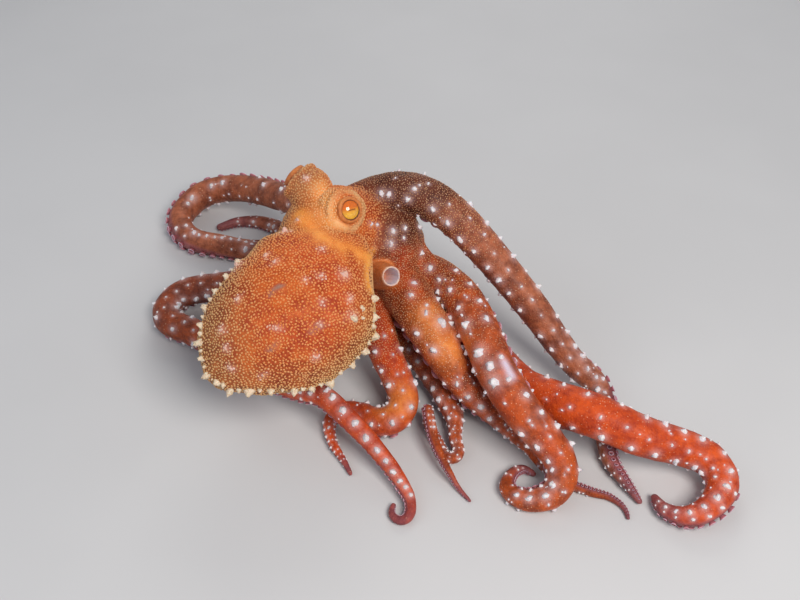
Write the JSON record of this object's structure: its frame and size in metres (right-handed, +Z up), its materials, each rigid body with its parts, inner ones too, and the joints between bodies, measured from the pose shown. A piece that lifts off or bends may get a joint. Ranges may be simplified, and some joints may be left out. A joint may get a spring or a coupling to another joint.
{
  "type": "octopus model",
  "caption": "Life-size white-spotted octopus at rest: raised mantle, eye mounds, open funnel, and long arms with suckers that arch, cross and curl over the floor.",
  "frame": {"origin": "middle of the model's outer box, on the floor it rests on", "axes": "+X along the longest extent, to the right in the picture; +Z up"},
  "size_m": [0.3112, 0.2632, 0.1087],
  "materials": {
    "arm_skin": "wet skin, orange-red with white spots",
    "mantle_skin": "wet granular skin, orange with pale grains",
    "head_skin": "wet granular skin, orange",
    "crown_skin": "wet skin, dark red-brown",
    "funnel_skin": "smooth wet skin",
    "eye": "glossy"
  },
  "bodies": {
    "root": {"arm_l1_a": "arm_skin", "arm_l1_b": "arm_skin", "arm_l1_c": "arm_skin", "arm_l1_d": "arm_skin", "arm_l2_a": "arm_skin", "arm_l2_b": "arm_skin", "arm_l2_c": "arm_skin", "arm_l2_d": "arm_skin", "arm_l3_a": "arm_skin", "arm_l3_b": "arm_skin", "arm_l3_c": "arm_skin", "arm_l4_a": "arm_skin", "arm_l4_b": "arm_skin", "arm_l4_c": "arm_skin", "arm_l4_d": "arm_skin", "arm_r1_a": "arm_skin", "arm_r1_b": "arm_skin", "arm_r1_c": "arm_skin", "arm_r2_a": "arm_skin", "arm_r2_b": "arm_skin", "arm_r2_c": "arm_skin", "arm_r3_a": "arm_skin", "arm_r3_b": "arm_skin", "arm_r3_c": "arm_skin", "arm_r4_a": "arm_skin", "arm_r4_b": "arm_skin", "arm_r4_c": "arm_skin", "crown": "crown_skin", "eye_left": "eye", "eye_right": "eye", "funnel": "funnel_skin", "head": "head_skin", "mantle": "mantle_skin"}
  },
  "joints": []
}
